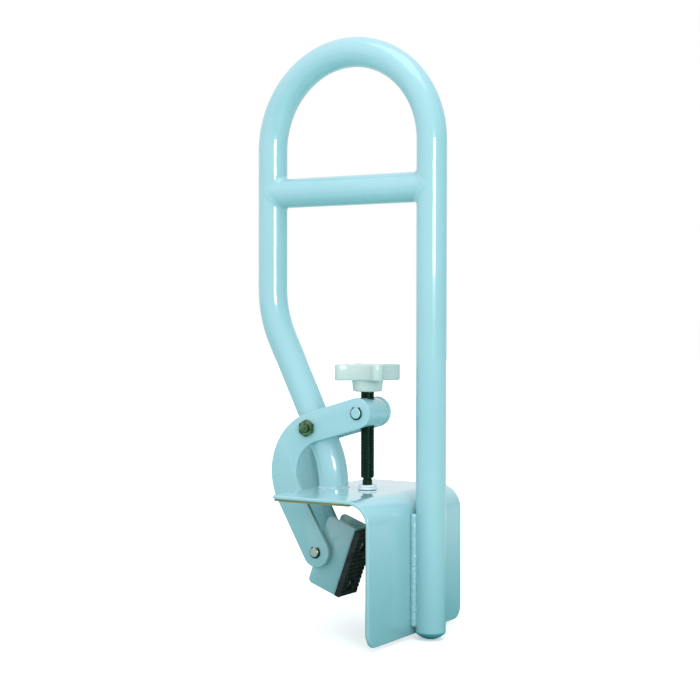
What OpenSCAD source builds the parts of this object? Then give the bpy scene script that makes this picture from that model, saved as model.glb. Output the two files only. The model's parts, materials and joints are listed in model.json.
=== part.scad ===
// Clamp-on grab rail for the side of a bath.
// A painted steel hoop is welded to a saddle that drops over the bath's rim. A lever hooks round
// the saddle's inner edge, and a hand screw pushes its arm up, so that the jaw shoe at its lower
// end squeezes the bath's wall against the saddle's outer plate.
// Millimetres. +X runs along the rim, +Y across it into the bath, +Z up. The origin is the middle
// of the seat, where the liner under the saddle rests on the rim. Each piece is drawn from the outer
// leg's axis and the saddle's top face, and on_seat() moves it to the origin.

/* [Hoop] */
// Outside diameter of the hoop's and the crossbar's tube
tube_d = 25.4; // [22:0.1:28]
// Wall of the tube
tube_wall = 1.6; // [1.2:0.1:2.5]
// Distance between the axes of the two legs, above the bend
leg_gap = 159; // [150:1:175]
// Height of the straight legs, where the arch starts
arch_z = 293; // [285:1:340]
// Height of the crossbar's axis
crossbar_z = 255; // [220:1:265]
// Depth of the outer leg's cut end below the saddle's top
leg_drop = 114; // [100:1:118]
// Distance from the outer leg to the inner leg's foot
foot_y = 95; // [94:0.5:97]
// Lean of the inner leg between its two bends, in degrees
leg_lean = 26.4; // [26:0.1:27]

/* [Saddle] */
// Length of the saddle along the rim
saddle_l = 158; // [130:1:200]
// Thickness of the saddle's plate
plate_t = 3; // [2.5:0.1:4]
// Depth of the outer plate's lower edge
saddle_drop = 117; // [115:1:130]
// Distance from the outer leg to the top plate's inner edge
saddle_reach = 109; // [108:0.5:111]
// Outside radius of the saddle's bend
saddle_bend_r = 21; // [12:1:26]
// Corner radius of the plate's edges
corner_r = 11; // [6:1:16]
// Thickness of the soft liners inside the saddle
liner_t = 2; // [1:0.5:3]

/* [Lever] */
// Clear space between the two lever plates
lever_gap = 28; // [27.8:0.2:30]
// Thickness of each lever plate
lever_t = 4; // [3:0.5:5]
// Width of each lever plate's strip
lever_w = 26; // [24:0.5:27]
// Distance of the lever's pivot from the outer leg
pivot_y = 110.6; // [110:0.1:111]
// Height of the lever's pivot
pivot_z = 51.5; // [51:0.1:52]
// Length of the arm, from its pivot to the trunnion
arm_l = 51.2; // [50:0.1:53]
// Rise of the arm above level, in degrees
arm_rise = 16.3; // [15:0.1:17]
// Mean radius of the hook's bend
hook_r = 41; // [40:0.5:42]
// Lean of the hook's lower end from upright, in degrees
hook_lean = 30; // [28:0.5:32]
// Length of the hook's straight lower end
hook_l = 55; // [52:0.5:58]

/* [Clamp screw] */
// Outside diameter of the clamp screw
screw_d = 12; // [10:0.1:12.4]
// Diameter of the trunnion's barrel
barrel_d = 25; // [22:0.5:26]
// Diameter of the white foot
screw_foot_d = 16.2; // [14:0.1:18]
// Across the tips of the hand knob
knob_d = 58; // [46:1:60]
// Height of the knob's lobes
knob_h = 14; // [10:1:16]
// Turn of the knob's lobes about its axis, in degrees
knob_turn = 50; // [0:5:85]

/* [Jaw] */
// Tilt of the jaw shoe's face from upright, in degrees
shoe_tilt = 20; // [14:1:24]
// Height of the jaw shoe
shoe_h = 62; // [54:1:70]
// Depth of the jaw shoe's side cheeks
shoe_depth = 30; // [26:1:34]
// Width of the jaw shoe over its cheeks
shoe_w = 23.5; // [22:0.5:24]
// Thickness of the jaw's rubber pad
pad_t = 5; // [3:0.5:6]

/* [Hidden] */
$fn = 64;

PAINT = [0.72, 0.87, 0.90];
CAP_TEAL = [0.30, 0.65, 0.68];
DARK_STEEL = [0.22, 0.27, 0.24];
ZINC = [0.62, 0.65, 0.64];
IVORY = [0.87, 0.91, 0.84];
NYLON = [0.95, 0.96, 0.96];
RUBBER = [0.35, 0.30, 0.20];

touch_gap = 0.02;   // keeps welded and glued neighbours from sharing metal
run_gap = 0.06;     // radial clearance of every turning fit
side_play = 0.1;    // play along its pin of each washer and spacer, at both of its faces

tube_r = tube_d / 2;
tube_bore_r = tube_r - tube_wall;

// Hoop centre line, in the plane across the rim. The bends' ends are placed to 0.01 mm, so that the
// upright tubes meet them face to face. The leaning tube laps into both bends inside their walls.
arch_r = leg_gap / 2;
upper_bend_r = 100;
lower_bend_r = 80;
lean_z = 20;                            // where the leaning line meets the foot's line
upper_corner_z = lean_z + (leg_gap - foot_y) / tan(leg_lean);
upper_bend_z = round(100 * (upper_corner_z + upper_bend_r * tan(leg_lean / 2))) / 100;
lower_bend_z = round(100 * (lean_z - lower_bend_r * tan(leg_lean / 2))) / 100;
lean_lap = 1;
lean_step = 0.2;

// Saddle
plate_y = tube_r;                       // outer face of the outer plate, touched by the leg
plate_in_y = plate_y + plate_t;
bend_y = plate_y + saddle_bend_r;
inner_corner_r = corner_r - 2;
liner_margin = 3;                       // how far the liners stay inside the plate's edges
seat_y = (bend_y + saddle_reach - liner_margin) / 2;
seat_depth = plate_t + touch_gap + liner_t;

// Beads beside the outer leg
weld_top_z = -16;
weld_low_z = -leg_drop + 4;
weld_bead_r = 3.5;
weld_bead_x = 10.2;
weld_bead_y = plate_y - 2.65;

// Lever
arm_dir = -arm_rise;                    // direction from the trunnion to the pivot
plate_x = lever_gap / 2;
trunnion_y = pivot_y - arm_l * cos(arm_rise);
trunnion_z = pivot_z + arm_l * sin(arm_rise);
bend_lead = 5;                          // the hook's bend starts this far before the pivot
bend_start_y = pivot_y - bend_lead * cos(arm_dir);
bend_start_z = pivot_z - bend_lead * sin(arm_dir);
hook_c_y = bend_start_y + hook_r * sin(arm_dir);
hook_c_z = bend_start_z - hook_r * cos(arm_dir);
hook_end_angle = -hook_lean;
hook_start_angle = 90 + arm_dir;
hook_end_y = hook_c_y + hook_r * cos(hook_end_angle);
hook_end_z = hook_c_z + hook_r * sin(hook_end_angle);
jaw_y = hook_end_y - hook_l * sin(hook_lean);
jaw_z = hook_end_z - hook_l * cos(hook_lean);

// Pivot bolt, M8
bolt_r = 4;
bolt_head_af = 13;
bolt_head_h = 5.3;
nut_h = 4;
nut_face_r = 7;                         // radius of the nut's chamfered outer face
bolt_proud = 3;
sleeve_r = 6;
sleeve_half_l = 13;
washer_r = 9;

// Trunnion
pin_r = 4.5;
pin_reach = plate_x + lever_t + 2.2;
groove_depth = 0.4;
groove_play = 0.01;
clip_t = 1;
clip_x = plate_x + lever_t + 0.25;
clip_w = 1.9;                           // width of a retaining ring's band
barrel_half_l = plate_x - 0.3;

// Clamp screw, seen from the foot up
foot_z = 0.3;
foot_h = 4;
foot_floor_t = 1.4;
dog_z = foot_z + foot_floor_t + side_play;
dog_r = 4.15;
thread_z = 10;
hub_z = 83.6;
hub_h = 9.5;
hub_r = 13.2;
knob_z = hub_z + hub_h;
knob_top_z = knob_z + knob_h;
screw_top_z = knob_top_z - 6;
insert_r = 8;
plug_r = insert_r + 1;
plug_t = 3;

// Jaw
jaw_pin_r = 4;
jaw_pin_reach = clip_x + clip_t + 1.4;
cheek_t = 2.5;
shoe_rise = 2;                          // height of the shoe's middle above the jaw pin
shoe_top = shoe_rise + shoe_h / 2;
shoe_bottom = shoe_rise - shoe_h / 2;
shoe_back = 2;                          // the cheeks' inner edge, measured from the jaw pin
shoe_front = shoe_back - shoe_depth;
shoe_ear_r = 11;
spacer_r = 8;
shoe_corner_r = 4;
rivet_r = 2.4;
rivet_rise = 18;                        // height of each rivet above and below the jaw pin
rivet_sink = 2;

// ---- helpers ----

// Moves a piece from the outer leg's axis and the saddle's top face to the origin on the seat.
module on_seat() {
    translate([0, -seat_y, seat_depth])
        children();
}

// Stands a shape drawn in the plane (across, up) in the plane across the rim; its own Z becomes X.
module across() {
    rotate([90, 0, 90])
        children();
}

// A straight round bar, hollow if it has a bore, between two points of the (across, up) plane.
module bar(from, to, r, bore_r = 0) {
    run = to - from;
    translate([from[0], from[1], 0])
        rotate([0, 0, atan2(run[1], run[0])])
            rotate([0, 90, 0])
                difference() {
                    cylinder(h = norm(run), r = r);
                    if (bore_r > 0)
                        translate([0, 0, -1])
                            cylinder(h = norm(run) + 2, r = bore_r);
                }
}

// A tube bent to the left about the origin, from [bend_r, 0] where it heads along +Y.
module tube_bend(bend_r, turn) {
    rotate_extrude(angle = turn)
        translate([bend_r, 0])
            difference() {
                circle(r = tube_r);
                circle(r = tube_bore_r);
            }
}

// A bar along X, centred on the point (y, z).
module x_bar(y, z, half_l, r) {
    translate([-half_l, y, z])
        rotate([0, 90, 0])
            cylinder(h = 2 * half_l, r = r);
}

module hex_prism(af, h) {
    cylinder(h = h, r = af / 2 / cos(30), $fn = 6);
}

// The waste outside a rounded corner whose point is at the origin, with the part at -X, -Y.
module corner_waste(r, h) {
    translate([-r, -r, -h / 2])
        difference() {
            cube([r + 1, r + 1, h]);
            translate([0, 0, -1])
                cylinder(h = h + 2, r = r);
        }
}

// Two rings about a line along X through (y, z), one each side of the middle.
module ring_pair(y, z, inner_x, outer_x, r, bore_r) {
    t = outer_x - inner_x;
    for (side = [-1, 1])
        translate([side * (inner_x + outer_x) / 2, y, z])
            rotate([0, 90, 0])
                difference() {
                    cylinder(h = t, r = r, center = true);
                    cylinder(h = t + 2, r = bore_r, center = true);
                }
}

// A retaining ring in the groove at each end of a pin, open at the top.
module retaining_rings(y, z, pin_r) {
    opening = 3.6;
    groove_r = pin_r - groove_depth;
    difference() {
        ring_pair(y, z, clip_x, clip_x + clip_t, groove_r + clip_w, groove_r + touch_gap);
        translate([-clip_x - 2 * clip_t, y - opening / 2, z])
            cube([2 * (clip_x + 2 * clip_t), opening, 2 * pin_r]);
    }
}

// The waste of the grooves for those rings.
module ring_grooves(y, z, pin_r) {
    ring_pair(y, z, clip_x - groove_play, clip_x + clip_t + groove_play, pin_r + 1,
        pin_r - groove_depth);
}

// Places children in the shoe's own frame: origin on the jaw pin, +X into the bath, +Y up its face.
module shoe_frame() {
    across()
        translate([jaw_y, jaw_z, 0])
            rotate([0, 0, shoe_tilt])
                children();
}

// ---- the welded frame ----

module hoop_tube() {
    color(PAINT)
    on_seat() {
        across() {
            bar([0, -leg_drop], [0, arch_z], tube_r, tube_bore_r);
            translate([arch_r, arch_z, 0])
                tube_bend(arch_r, 180);
            bar([leg_gap, upper_bend_z], [leg_gap, arch_z], tube_r, tube_bore_r);
            translate([leg_gap - upper_bend_r, upper_bend_z, 0])
                rotate([180, 0, 0])
                    tube_bend(upper_bend_r, leg_lean);
            translate([foot_y + lower_bend_r, lower_bend_z, 0])
                rotate([0, 180, 0])
                    tube_bend(lower_bend_r, leg_lean);
            bar([foot_y, touch_gap], [foot_y, lower_bend_z], tube_r, tube_bore_r);
        }
        leaning_tube();
    }
}

// The inner leg's straight length between its two bends, with the hole for the pivot's sleeve.
module leaning_tube() {
    shift = 1 - cos(leg_lean);
    low = [foot_y + lower_bend_r * shift, lower_bend_z + lower_bend_r * sin(leg_lean)];
    high = [leg_gap - upper_bend_r * shift, upper_bend_z - upper_bend_r * sin(leg_lean)];
    lap = lean_lap * (high - low) / norm(high - low);
    difference() {
        across()
            bar(low - lap, high + lap, tube_r - lean_step, tube_bore_r + lean_step);
        x_bar(pivot_y, pivot_z, tube_d, sleeve_r + touch_gap);
    }
}

module crossbar_tube() {
    color(PAINT)
    on_seat()
    difference() {
        across()
            bar([0, crossbar_z], [leg_gap, crossbar_z], tube_r, tube_bore_r);
        for (y = [0, leg_gap])
            translate([0, y, crossbar_z - tube_d])
                cylinder(h = 2 * tube_d, r = tube_r + touch_gap);
    }
}

// The saddle's bent strip, at offset `inset` inside its outer faces and `t` thick.
module saddle_strip(inset, t, half_l, low_z, far_y) {
    outer_r = saddle_bend_r - inset;
    near_y = plate_y + inset;
    translate([-half_l, near_y, low_z])
        cube([2 * half_l, t, -saddle_bend_r - low_z]);
    translate([-half_l, bend_y, -inset - t])
        cube([2 * half_l, far_y - bend_y, t]);
    intersection() {
        difference() {
            x_bar(bend_y, -saddle_bend_r, half_l, outer_r);
            x_bar(bend_y, -saddle_bend_r, half_l + 1, outer_r - t);
        }
        translate([-half_l, bend_y - outer_r, -saddle_bend_r])
            cube([2 * half_l, outer_r, outer_r]);
    }
}

module saddle_bracket() {
    half_l = saddle_l / 2;
    color(PAINT)
    on_seat()
    difference() {
        saddle_strip(0, plate_t, half_l, -saddle_drop, saddle_reach);
        for (side = [-1, 1]) {
            translate([side * half_l, plate_y, -saddle_drop])
                rotate([90, 0, 0])
                    mirror([side < 0 ? 1 : 0, 0, 0])
                        mirror([0, 1, 0])
                            corner_waste(corner_r, 3 * plate_t);
            translate([side * half_l, saddle_reach, 0])
                mirror([side < 0 ? 1 : 0, 0, 0])
                    corner_waste(inner_corner_r, 3 * plate_t);
        }
    }
}

module leg_end_cap() {
    dome_h = 5.5;
    dome_r = (pow(tube_r, 2) + pow(dome_h, 2)) / (2 * dome_h);
    lip_h = 1;
    plug_h = 14;
    color(CAP_TEAL)
    on_seat()
    translate([0, 0, -leg_drop]) {
        translate([0, 0, -lip_h])
            cylinder(h = lip_h - touch_gap, r = tube_r);
        intersection() {
            translate([0, 0, -lip_h - dome_h + dome_r])
                sphere(r = dome_r);
            translate([0, 0, -lip_h - dome_h])
                cylinder(h = dome_h, r = tube_r);
        }
        difference() {
            translate([0, 0, -lip_h])
                cylinder(h = plug_h, r = tube_bore_r - touch_gap);
            cylinder(h = plug_h, r = tube_bore_r - 2);
        }
    }
}

// Fillet beads in the two corners between the outer leg and the outer plate.
module outer_leg_welds() {
    length = weld_top_z - weld_low_z;
    color(PAINT)
    on_seat()
    for (side = [-1, 1])
        intersection() {
            difference() {
                translate([side * weld_bead_x, weld_bead_y, weld_low_z])
                    cylinder(h = length, r = weld_bead_r);
                translate([0, 0, weld_low_z - 1])
                    cylinder(h = length + 2, r = tube_r + touch_gap);
            }
            translate([-tube_d, 0, weld_low_z - 1])
                cube([2 * tube_d, plate_y - touch_gap, length + 2]);
        }
}

module inner_leg_weld() {
    bead = 1.6;
    bead_top = 0.5;
    color(PAINT)
    on_seat()
    translate([0, foot_y, touch_gap])
        difference() {
            cylinder(h = bead, r1 = tube_r + bead, r2 = tube_r + bead_top);
            translate([0, 0, -1])
                cylinder(h = bead + 2, r = tube_r + touch_gap);
        }
}

// A coped collar of weld where each end of the crossbar meets a leg.
module crossbar_welds() {
    collar = 1.4;
    spread = 2.4;
    color(PAINT)
    on_seat()
    for (end = [[0, 0], [leg_gap, -tube_d]])
        difference() {
            intersection() {
                across()
                    bar([end[0] + end[1], crossbar_z], [end[0] + end[1] + tube_d, crossbar_z],
                        tube_r + collar);
                translate([0, end[0], crossbar_z - tube_d])
                    cylinder(h = 2 * tube_d, r = tube_r + spread);
            }
            across()
                bar([-tube_d, crossbar_z], [leg_gap + tube_d, crossbar_z], tube_r + touch_gap);
            translate([0, end[0], crossbar_z - tube_d - 1])
                cylinder(h = 2 * tube_d + 2, r = tube_r + touch_gap);
        }
}

module top_liner() {
    half_l = saddle_l / 2 - liner_margin;
    color(RUBBER)
    on_seat()
    translate([-half_l, bend_y, -seat_depth])
        cube([2 * half_l, 2 * (seat_y - bend_y), liner_t]);
}

module wall_liner() {
    half_l = saddle_l / 2 - liner_margin;
    low_z = -saddle_drop + liner_margin;
    color(RUBBER)
    on_seat()
    difference() {
        translate([-half_l, plate_in_y + touch_gap, low_z])
            cube([2 * half_l, liner_t, -saddle_bend_r - low_z]);
        for (side = [-1, 1])
            translate([side * half_l, plate_in_y, low_z])
                rotate([90, 0, 0])
                    mirror([side < 0 ? 1 : 0, 0, 0])
                        mirror([0, 1, 0])
                            corner_waste(corner_r - liner_margin, 4 * liner_t);
    }
}

module pivot_sleeve() {
    color(ZINC)
    on_seat()
    difference() {
        x_bar(pivot_y, pivot_z, sleeve_half_l, sleeve_r);
        x_bar(pivot_y, pivot_z, sleeve_half_l + 1, bolt_r + run_gap);
    }
}

// ---- the lever ----

// Points along an arc, every few degrees, for an outline in the (across, up) plane.
function arc(centre, r, from, to) =
    let (steps = ceil(abs(to - from) / 4))
    [for (i = [0:steps]) let (a = from + (to - from) * i / steps) centre + r * [cos(a), sin(a)]];

// One side plate of the lever, lying on the plane X = 0 and growing towards +X.
module lever_plate() {
    half_w = lever_w / 2;
    hook_centre = [hook_c_y, hook_c_z];
    outline = concat(
        arc([trunnion_y, trunnion_z], half_w, hook_start_angle + 180, hook_start_angle),
        arc(hook_centre, hook_r + half_w, hook_start_angle, hook_end_angle),
        arc([jaw_y, jaw_z], half_w, hook_end_angle, hook_end_angle - 180),
        arc(hook_centre, hook_r - half_w, hook_end_angle, hook_start_angle)
    );
    across()
        difference() {
            linear_extrude(lever_t)
                polygon(outline);
            translate([trunnion_y, trunnion_z, -1])
                cylinder(h = lever_t + 2, r = pin_r + run_gap);
            translate([pivot_y, pivot_z, -1])
                cylinder(h = lever_t + 2, r = bolt_r + run_gap);
            translate([jaw_y, jaw_z, -1])
                cylinder(h = lever_t + 2, r = jaw_pin_r + run_gap);
        }
}

module lever_plate_near() {
    color(PAINT)
    on_seat()
    translate([-plate_x - lever_t, 0, 0])
        lever_plate();
}

module lever_plate_far() {
    color(PAINT)
    on_seat()
    translate([plate_x, 0, 0])
        lever_plate();
}

// Hexagon bolt with its head on the far plate.
module pivot_bolt() {
    head_x = plate_x + lever_t + touch_gap;
    end_x = -(plate_x + lever_t + nut_h + bolt_proud);
    tip_r = 3.1;
    color(ZINC)
    on_seat()
    translate([0, pivot_y, pivot_z])
        rotate([0, 90, 0]) {
            translate([0, 0, end_x + 1])
                cylinder(h = head_x - end_x - 1, r = bolt_r);
            translate([0, 0, end_x])
                cylinder(h = 1, r1 = tip_r, r2 = bolt_r);
            translate([0, 0, head_x])
                hex_prism(bolt_head_af, bolt_head_h);
        }
}

module pivot_nut() {
    color(DARK_STEEL)
    on_seat()
    translate([-plate_x - lever_t - nut_h - touch_gap, pivot_y, pivot_z])
        rotate([0, 90, 0])
            difference() {
                intersection() {
                    hex_prism(bolt_head_af, nut_h);
                    cylinder(h = nut_h, r1 = nut_face_r, r2 = nut_face_r + nut_h);
                }
                translate([0, 0, -1])
                    cylinder(h = nut_h + 2, r = bolt_r + touch_gap);
            }
}

// Thin nylon washers between the leg's sleeve and the lever plates.
module thrust_washers() {
    color(NYLON)
    on_seat()
    ring_pair(pivot_y, pivot_z, sleeve_half_l + side_play, plate_x - side_play, washer_r,
        bolt_r + run_gap);
}

module jaw_pin() {
    color(ZINC)
    on_seat()
    difference() {
        x_bar(jaw_y, jaw_z, jaw_pin_reach, jaw_pin_r);
        ring_grooves(jaw_y, jaw_z, jaw_pin_r);
    }
}

module jaw_pin_clips() {
    color(DARK_STEEL)
    on_seat()
    retaining_rings(jaw_y, jaw_z, jaw_pin_r);
}

// ---- the trunnion and the clamp screw ----

// The screw's swivelling nut: a barrel across the lever with a pin at each end.
module trunnion_barrel() {
    color(PAINT)
    on_seat()
    difference() {
        union() {
            x_bar(trunnion_y, trunnion_z, barrel_half_l, barrel_d / 2);
            x_bar(trunnion_y, trunnion_z, pin_reach, pin_r);
        }
        translate([0, trunnion_y, trunnion_z - barrel_d])
            cylinder(h = 2 * barrel_d, r = screw_d / 2 + run_gap);
        ring_grooves(trunnion_y, trunnion_z, pin_r);
    }
}

module trunnion_clips() {
    color(DARK_STEEL)
    on_seat()
    retaining_rings(trunnion_y, trunnion_z, pin_r);
}

module screw_foot() {
    rim = 0.8;
    color(NYLON)
    on_seat()
    translate([0, trunnion_y, foot_z])
        difference() {
            union() {
                cylinder(h = rim, r1 = screw_foot_d / 2 - rim, r2 = screw_foot_d / 2);
                translate([0, 0, rim])
                    cylinder(h = foot_h - 2 * rim, r = screw_foot_d / 2);
                translate([0, 0, foot_h - rim])
                    cylinder(h = rim, r1 = screw_foot_d / 2, r2 = screw_foot_d / 2 - rim);
            }
            translate([0, 0, foot_floor_t])
                cylinder(h = foot_h, r = dog_r + run_gap);
        }
}

// Threaded rod with a plain dog end that turns in the foot.
module clamp_screw() {
    chamfer = 1;
    screw_r = screw_d / 2;
    color(DARK_STEEL)
    on_seat()
    translate([0, trunnion_y, 0]) {
        translate([0, 0, dog_z])
            cylinder(h = thread_z - dog_z, r = dog_r);
        translate([0, 0, thread_z])
            cylinder(h = chamfer, r1 = dog_r, r2 = screw_r);
        translate([0, 0, thread_z + chamfer])
            cylinder(h = screw_top_z - thread_z - chamfer, r = screw_r);
    }
}

// Outline of the four-lobed knob: a disc with four deep round bays between narrow lobes.
module knob_outline(r) {
    tip_half_w = 4.2;
    tip_y = r - 3;
    waist = 15.4;
    // the bay's circle touches the waist on the diagonal and passes through the lobe's shoulder
    reach = (pow(tip_y, 2) + pow(tip_half_w, 2) - pow(waist, 2))
        / (2 * ((tip_y + tip_half_w) * cos(45) - waist));
    difference() {
        circle(r = r);
        for (quarter = [45:90:315])
            rotate(quarter)
                translate([reach, 0])
                    circle(r = reach - waist);
    }
}

module hand_knob() {
    edge = 1.6;
    color(IVORY)
    on_seat()
    translate([0, trunnion_y, 0])
        difference() {
            union() {
                translate([0, 0, hub_z + edge])
                    cylinder(h = hub_h - edge, r = hub_r);
                translate([0, 0, hub_z])
                    cylinder(h = edge, r1 = hub_r - edge, r2 = hub_r);
                rotate([0, 0, knob_turn])
                    translate([0, 0, knob_z])
                        linear_extrude(knob_h)
                            knob_outline(knob_d / 2);
            }
            translate([0, 0, hub_z - 1])
                cylinder(h = screw_top_z - hub_z + 1 + touch_gap, r = insert_r + touch_gap);
            translate([0, 0, knob_top_z - plug_t])
                cylinder(h = plug_t + 1, r = plug_r);
        }
}

// Steel bush moulded into the knob and fixed to the screw's top.
module knob_insert() {
    color(ZINC)
    on_seat()
    translate([0, trunnion_y, hub_z])
        difference() {
            cylinder(h = screw_top_z - hub_z, r = insert_r);
            translate([0, 0, -1])
                cylinder(h = screw_top_z - hub_z + 2, r = screw_d / 2 + touch_gap);
        }
}

module knob_plug() {
    color(IVORY)
    on_seat()
    translate([0, trunnion_y, knob_top_z - plug_t + touch_gap])
        cylinder(h = plug_t, r = plug_r - touch_gap);
}

// ---- the jaw ----

// The outline of a cheek, with its rounded corners and the ear round the jaw pin.
module cheek(t) {
    difference() {
        union() {
            translate([shoe_front, shoe_bottom, 0])
                cube([shoe_depth, shoe_h, t]);
            cylinder(h = t, r = shoe_ear_r);
        }
        translate([shoe_back, shoe_top, t / 2])
            corner_waste(shoe_corner_r, 2 * t);
        translate([shoe_back, shoe_bottom, t / 2])
            mirror([0, 1, 0])
                corner_waste(shoe_corner_r, 2 * t);
        translate([0, 0, -1])
            cylinder(h = t + 2, r = jaw_pin_r + run_gap);
    }
}

module jaw_shoe() {
    color(PAINT)
    on_seat()
    shoe_frame()
        difference() {
            union() {
                translate([0, 0, -shoe_w / 2])
                    cheek(cheek_t);
                translate([0, 0, shoe_w / 2 - cheek_t])
                    cheek(cheek_t);
                translate([shoe_front, shoe_bottom, -shoe_w / 2])
                    cube([cheek_t, shoe_h, shoe_w]);
            }
            for (rise = [-rivet_rise, rivet_rise])
                translate([shoe_front - 1, rise, 0])
                    rotate([0, 90, 0])
                        cylinder(h = cheek_t + 2, r = rivet_r + touch_gap);
        }
}

// Spacers on the jaw pin between the shoe's cheeks and the lever plates.
module jaw_spacers() {
    color(ZINC)
    on_seat()
    ring_pair(jaw_y, jaw_z, shoe_w / 2 + side_play, plate_x - side_play, spacer_r,
        jaw_pin_r + run_gap);
}

module jaw_pad() {
    pad_w = shoe_w + 4;
    color(RUBBER)
    on_seat()
    shoe_frame()
        difference() {
            translate([shoe_front - pad_t, shoe_bottom + 1, -pad_w / 2])
                cube([pad_t - touch_gap, shoe_h - 2, pad_w]);
            for (rise = [-rivet_rise, rivet_rise])
                translate([shoe_front - pad_t - 1, rise, 0])
                    rotate([0, 90, 0]) {
                        cylinder(h = pad_t + 2, r = rivet_r + touch_gap);
                        cylinder(h = 1 + rivet_sink + 1, r = 2 * rivet_r);
                    }
        }
}

// Rivets that hold the pad: a sunk flat head outside and a set tail inside the channel.
module pad_rivets() {
    head_t = 1;
    tail_t = 1.2;
    head_gap = 0.2;
    color(ZINC)
    on_seat()
    shoe_frame()
        for (rise = [-rivet_rise, rivet_rise])
            translate([shoe_front - pad_t + rivet_sink + touch_gap, rise, 0])
                rotate([0, 90, 0]) {
                    cylinder(h = head_t - 2 * touch_gap, r = 2 * rivet_r - head_gap);
                    cylinder(h = pad_t - rivet_sink + cheek_t + tail_t, r = rivet_r);
                    translate([0, 0, pad_t - rivet_sink + cheek_t])
                        cylinder(h = tail_t, r = rivet_r + tail_t);
                }
}

hoop_tube();
crossbar_tube();
saddle_bracket();
leg_end_cap();
outer_leg_welds();
inner_leg_weld();
crossbar_welds();
top_liner();
wall_liner();
pivot_sleeve();
lever_plate_near();
lever_plate_far();
pivot_bolt();
pivot_nut();
thrust_washers();
jaw_pin();
jaw_pin_clips();
trunnion_barrel();
trunnion_clips();
screw_foot();
clamp_screw();
hand_knob();
knob_insert();
knob_plug();
jaw_shoe();
jaw_spacers();
jaw_pad();
pad_rivets();
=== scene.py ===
"""Looks of the clamp-on bath rail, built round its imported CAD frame.

Metres. +X runs along the bath's rim, +Y across it into the bath, +Z up. Each piece stands for one CAD
node, rides on that node's body, and takes its place from the node's box or from the record's joints.
"""

import json
import math

import bmesh
import bpy
from mathutils import Matrix, Vector, noise


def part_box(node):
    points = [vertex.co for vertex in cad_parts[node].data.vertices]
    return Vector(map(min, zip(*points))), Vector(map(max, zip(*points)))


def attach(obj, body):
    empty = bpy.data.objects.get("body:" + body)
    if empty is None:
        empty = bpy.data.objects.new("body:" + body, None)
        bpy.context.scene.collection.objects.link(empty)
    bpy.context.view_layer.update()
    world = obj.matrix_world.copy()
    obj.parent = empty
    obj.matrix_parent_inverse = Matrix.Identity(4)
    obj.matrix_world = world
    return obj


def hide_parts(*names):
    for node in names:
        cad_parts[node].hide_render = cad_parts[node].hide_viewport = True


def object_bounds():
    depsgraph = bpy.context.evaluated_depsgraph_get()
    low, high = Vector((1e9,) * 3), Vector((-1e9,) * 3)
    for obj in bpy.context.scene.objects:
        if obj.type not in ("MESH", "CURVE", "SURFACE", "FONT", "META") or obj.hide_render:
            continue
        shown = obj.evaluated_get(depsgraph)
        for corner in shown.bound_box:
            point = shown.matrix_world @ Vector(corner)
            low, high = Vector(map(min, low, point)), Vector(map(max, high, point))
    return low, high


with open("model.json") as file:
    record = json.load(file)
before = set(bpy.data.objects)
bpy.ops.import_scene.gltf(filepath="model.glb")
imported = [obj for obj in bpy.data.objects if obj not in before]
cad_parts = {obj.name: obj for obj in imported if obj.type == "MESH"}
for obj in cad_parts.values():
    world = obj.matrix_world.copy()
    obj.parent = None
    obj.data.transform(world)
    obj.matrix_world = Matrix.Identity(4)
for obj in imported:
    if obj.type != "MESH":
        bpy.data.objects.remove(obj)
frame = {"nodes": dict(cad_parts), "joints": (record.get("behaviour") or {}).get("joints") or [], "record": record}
CAD_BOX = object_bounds()

MM = 0.001
RECORD = frame["record"]
BODY_OF = {node: body for body, nodes in RECORD["behaviour"]["bodies"].items() for node in nodes}
SLOT_OF = {part["node"]: part["material_slot"] for part in RECORD["subparts"]}
JOINT_AT = {joint["name"]: Vector(joint["pos_m"]) for joint in frame["joints"] if "pos_m" in joint}


# ---- sizes that several pieces share ----

# the lever's three axes, all along X and given by their points at X = 0
PIVOT = JOINT_AT["lever_tilt"]
TRUNNION = JOINT_AT["trunnion_turn"]
JAW = JOINT_AT["shoe_swivel"]

HOOP_LOW, HOOP_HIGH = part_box("hoop_tube")
SADDLE_LOW, SADDLE_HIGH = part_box("saddle_bracket")
TUBE_R = HOOP_HIGH.x
TUBE_WALL = 1.6 * MM
LEG_Y = HOOP_LOW.y + TUBE_R
INNER_LEG_Y = HOOP_HIGH.y - TUBE_R
TOP_Z = SADDLE_HIGH.z
ARCH_R = (INNER_LEG_Y - LEG_Y) / 2
ARCH_Z = HOOP_HIGH.z - TUBE_R - ARCH_R
WELD_LOW, WELD_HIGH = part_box("inner_leg_weld")
FOOT_Y = (WELD_LOW.y + WELD_HIGH.y) / 2
LEAN = math.radians(26.4)
UPPER_BEND_R = 100 * MM
LOWER_BEND_R = 80 * MM
LEAN_Z = TOP_Z + 20 * MM
TOUCH_GAP = 0.02 * MM

BOLT_R = 4 * MM
BOLT_HOLE_R = 4.06 * MM
PIN_R = 4.5 * MM
PIN_HOLE_R = 4.56 * MM
SLEEVE_HOLE_R = 6.02 * MM
SCREW_HOLE_R = 6.06 * MM
ACROSS_FLATS = 13 * MM
GROOVE_W = 1.02 * MM

SADDLE_T = 3 * MM
SADDLE_BEND_R = 21 * MM

BAR_LOW, BAR_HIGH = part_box("crossbar_tube")
CROSSBAR_Z = (BAR_LOW.z + BAR_HIGH.z) / 2

NEAR_LOW, NEAR_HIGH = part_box("lever_plate_near")
LEVER_T = NEAR_HIGH.x - NEAR_LOW.x
PLATE_X = -NEAR_HIGH.x
LEVER_HALF_W = 13 * MM
HOOK_R = 41 * MM
BEND_LEAD = 5 * MM
HOOK_LEAN = math.radians(30)


# ---- mesh helpers ----

# takes a mesh's own X, Y and Z to the frame's Y, Z and X
ALONG_X = Matrix(((0, 0, 1), (1, 0, 0), (0, 1, 0)))


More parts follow.
